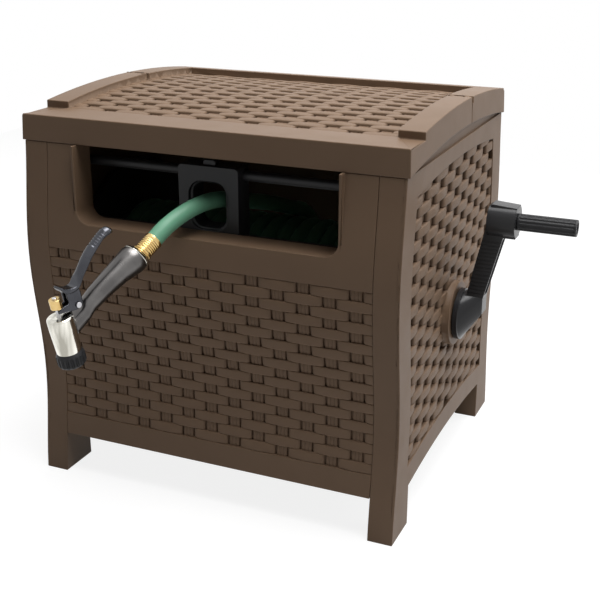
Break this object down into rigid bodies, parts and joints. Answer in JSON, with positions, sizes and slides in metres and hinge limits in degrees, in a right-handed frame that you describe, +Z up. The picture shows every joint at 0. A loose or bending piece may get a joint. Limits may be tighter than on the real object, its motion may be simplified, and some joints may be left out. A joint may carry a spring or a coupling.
{
  "type": "hose reel box",
  "caption": "Wicker-moulded resin box on legs holding a crank-wound garden hose reel, with an arched hinged lid, a sliding hose guide in its front window and a pistol nozzle.",
  "frame": {"origin": "on the ground, under the middle of the reach from the inlet to the grip in X and between the feet in Y", "axes": "+Z up, the window looks towards -Y, +X along the reel's axis towards the crank"},
  "size_m": [0.8168, 0.7377, 0.5944],
  "materials": {
    "brown_resin": "satin moulded resin",
    "black_plastic": "satin moulded plastic",
    "green_hose": "satin vinyl",
    "brass": "turned",
    "zinc_steel": "zinc plated",
    "chrome": "polished",
    "handle_coat": "satin coat on metal",
    "lever_metal": "gloss coat on metal",
    "black_rubber": "matte"
  },
  "bodies": {
    "box": {"front_panel": "brown_resin", "back_panel": "brown_resin", "left_side_panel": "brown_resin", "right_side_panel": "brown_resin", "panel_screws": "zinc_steel", "rear_cover": "brown_resin", "hinge_pins": "zinc_steel", "left_bush": "black_plastic", "right_bush": "black_plastic", "bush_screws": "zinc_steel", "inlet_fitting": "black_plastic", "inlet_seal": "black_rubber", "upper_rail": "black_plastic", "lower_rail": "black_plastic"},
    "lid": {"front_lid": "brown_resin"},
    "reel": {"reel_drum": "black_plastic", "left_flange": "black_plastic", "right_flange": "black_plastic", "flange_screws": "zinc_steel", "crank_axle": "zinc_steel", "water_axle": "zinc_steel", "hose_outlet": "brass", "wound_hose": "green_hose", "crank_arm": "black_plastic", "crank_screw": "zinc_steel", "grip_pin": "zinc_steel"},
    "grip": {"crank_grip": "black_plastic"},
    "guide": {"guide_carriage": "black_plastic", "free_hose": "green_hose", "hose_coupling": "brass", "hose_washer": "black_rubber", "nozzle_handle": "handle_coat", "nozzle_head": "chrome", "nozzle_bezel": "black_plastic", "lever_rivet": "zinc_steel"},
    "trigger": {"nozzle_lever": "lever_metal"},
    "valve": {"valve_stem": "zinc_steel", "flow_knob": "brass"}
  },
  "joints": [
    {"name": "lid_hinge", "type": "hinge", "parent": "box", "child": "lid", "pos_m": [-0.0664, 0.045, 0.58903], "axis": [-1, 0, 0], "range_deg": [0, 95]},
    {"name": "reel_spin", "type": "hinge", "parent": "box", "child": "reel", "pos_m": [-0.0664, 0, 0.268], "axis": [1, 0, 0], "continuous": true},
    {"name": "grip_spin", "type": "hinge", "parent": "reel", "child": "grip", "pos_m": [0.3656, 0, 0.424], "axis": [1, 0, 0], "continuous": true},
    {"name": "guide_slide", "type": "slide", "parent": "box", "child": "guide", "axis": [1, 0, 0], "range_m": [-0.145, 0.167]},
    {"name": "trigger_pull", "type": "hinge", "parent": "guide", "child": "trigger", "pos_m": [-0.15882, -0.4345, 0.37347], "axis": [-0.9397, 0.342, 0], "range_deg": [0, 15], "stiffness_Nm_per_rad": 3, "springref_deg": -8.59},
    {"name": "valve_pull", "type": "slide", "parent": "guide", "child": "valve", "axis": [-0.0711, -0.1954, 0.9781], "range_m": [0, 0.0085]}
  ],
  "couplings": [
    {"joint": "valve_pull", "follows": "trigger_pull", "m_per_rad": 0.03}
  ]
}
